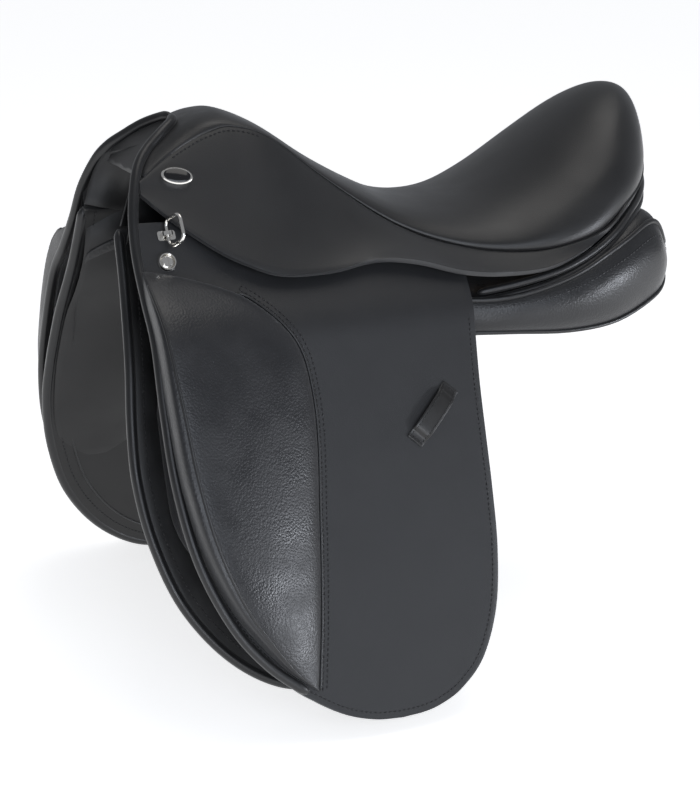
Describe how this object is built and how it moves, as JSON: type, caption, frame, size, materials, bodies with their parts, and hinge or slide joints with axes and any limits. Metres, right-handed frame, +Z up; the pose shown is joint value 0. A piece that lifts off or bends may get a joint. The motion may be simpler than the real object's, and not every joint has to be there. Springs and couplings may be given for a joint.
{
  "type": "english saddle",
  "caption": "Black English dressage saddle with a deep seat, padded knee rolls, lifting flaps and skirts, flocked panels, stirrup bars with latches, dee rings and girth billets.",
  "frame": {"origin": "roof of the gullet channel under the deepest point of the seat, on the centre plane", "axes": "+X towards the pommel and the horse's head, +Y to the near (left) side, +Z up"},
  "size_m": [0.5222, 0.5082, 0.4616],
  "materials": {
    "tree_wood": "laminated and sealed",
    "steel": "plain pressed steel",
    "webbing": "woven webbing",
    "foam": "closed-cell foam",
    "seat_leather": "smooth satin synthetic leather",
    "flap_leather": "smooth satin synthetic leather with fine grain",
    "grained_leather": "pebble-grained soft leather",
    "lining_leather": "smooth satin leather",
    "panel_leather": "pebble-grained soft leather",
    "strap_leather": "waxed strap leather",
    "bar_steel": "forged, plated",
    "nickel": "polished nickel",
    "badge_black": "gloss enamel with a bright rim"
  },
  "bodies": {
    "tree": {"tree": "tree_wood", "gullet_plate": "steel", "cantle_reinforcement": "steel", "gullet_rivets": "steel", "spring_steel_left": "steel", "spring_steel_right": "steel", "webbing_lengthwise": "webbing", "webbing_crosswise": "webbing", "girth_web_front_left": "webbing", "girth_web_front_right": "webbing", "girth_web_rear_left": "webbing", "girth_web_rear_right": "webbing", "seat_foam": "foam", "thigh_block_left": "foam", "thigh_block_right": "foam", "seat_cover": "seat_leather", "pommel_welt": "seat_leather", "skirt_upper_left": "seat_leather", "skirt_upper_right": "seat_leather", "flap_upper_left": "flap_leather", "flap_upper_right": "flap_leather", "sweat_flap_left": "lining_leather", "sweat_flap_right": "lining_leather", "panel_left": "panel_leather", "panel_right": "panel_leather", "gullet_lining": "panel_leather", "cantle_facing": "panel_leather", "stirrup_bar_left": "bar_steel", "stirrup_bar_right": "bar_steel", "latch_pin_left": "bar_steel", "latch_pin_right": "bar_steel", "dee_staple_left": "nickel", "dee_staple_right": "nickel", "cup_washer_left": "nickel", "cup_washer_right": "nickel", "flap_screw_left": "nickel", "flap_screw_right": "nickel", "badge_left": "badge_black", "badge_right": "badge_black"},
    "flap_left": {"flap_left": "flap_leather", "knee_roll_left": "grained_leather", "flap_keeper_left": "flap_leather"},
    "skirt_left": {"skirt_left": "seat_leather"},
    "dee_left": {"dee_ring_left": "nickel"},
    "latch_left": {"bar_latch_left": "bar_steel"},
    "billet_front_left": {"billet_front_left": "strap_leather"},
    "billet_rear_left": {"billet_rear_left": "strap_leather"},
    "flap_right": {"flap_right": "flap_leather", "knee_roll_right": "grained_leather", "flap_keeper_right": "flap_leather"},
    "skirt_right": {"skirt_right": "seat_leather"},
    "dee_right": {"dee_ring_right": "nickel"},
    "latch_right": {"bar_latch_right": "bar_steel"},
    "billet_front_right": {"billet_front_right": "strap_leather"},
    "billet_rear_right": {"billet_rear_right": "strap_leather"}
  },
  "joints": [
    {"name": "flap_lift_left", "type": "hinge", "parent": "tree", "child": "flap_left", "pos_m": [-0.008, 0.1242, -0.006], "axis": [0.9861, -0.1145, 0.1202], "range_deg": [0, 45]},
    {"name": "skirt_lift_left", "type": "hinge", "parent": "tree", "child": "skirt_left", "pos_m": [0.04, 0.104, 0.036], "axis": [0.9539, -0.1921, 0.2307], "range_deg": [0, 60]},
    {"name": "dee_swing_left", "type": "hinge", "parent": "tree", "child": "dee_left", "pos_m": [0.246, 0.07937, 0.05726], "axis": [0, 0.5145, -0.8575], "range_deg": [-8, 90]},
    {"name": "bar_latch_left", "type": "hinge", "parent": "tree", "child": "latch_left", "pos_m": [0.112, 0.08, 0.046], "axis": [0, 1, 0], "range_deg": [-80, 0]},
    {"name": "billet_swing_front_left", "type": "hinge", "parent": "tree", "child": "billet_front_left", "pos_m": [0.128, 0.11, -0.026], "axis": [0, 0.9409, 0.3387], "range_deg": [-4, 4]},
    {"name": "billet_swing_rear_left", "type": "hinge", "parent": "tree", "child": "billet_rear_left", "pos_m": [0.066, 0.11, -0.026], "axis": [0, 0.9409, 0.3387], "range_deg": [-4, 4]},
    {"name": "flap_lift_right", "type": "hinge", "parent": "tree", "child": "flap_right", "pos_m": [-0.008, -0.1242, -0.006], "axis": [-0.9861, -0.1145, -0.1202], "range_deg": [0, 45]},
    {"name": "skirt_lift_right", "type": "hinge", "parent": "tree", "child": "skirt_right", "pos_m": [0.04, -0.104, 0.036], "axis": [-0.9539, -0.1921, -0.2307], "range_deg": [0, 60]},
    {"name": "dee_swing_right", "type": "hinge", "parent": "tree", "child": "dee_right", "pos_m": [0.246, -0.07937, 0.05726], "axis": [0, 0.5145, 0.8575], "range_deg": [-8, 90]},
    {"name": "bar_latch_right", "type": "hinge", "parent": "tree", "child": "latch_right", "pos_m": [0.112, -0.08, 0.046], "axis": [0, 1, 0], "range_deg": [-80, 0]},
    {"name": "billet_swing_front_right", "type": "hinge", "parent": "tree", "child": "billet_front_right", "pos_m": [0.128, -0.11, -0.026], "axis": [0, 0.9409, -0.3387], "range_deg": [-4, 4]},
    {"name": "billet_swing_rear_right", "type": "hinge", "parent": "tree", "child": "billet_rear_right", "pos_m": [0.066, -0.11, -0.026], "axis": [0, 0.9409, -0.3387], "range_deg": [-4, 4]}
  ]
}
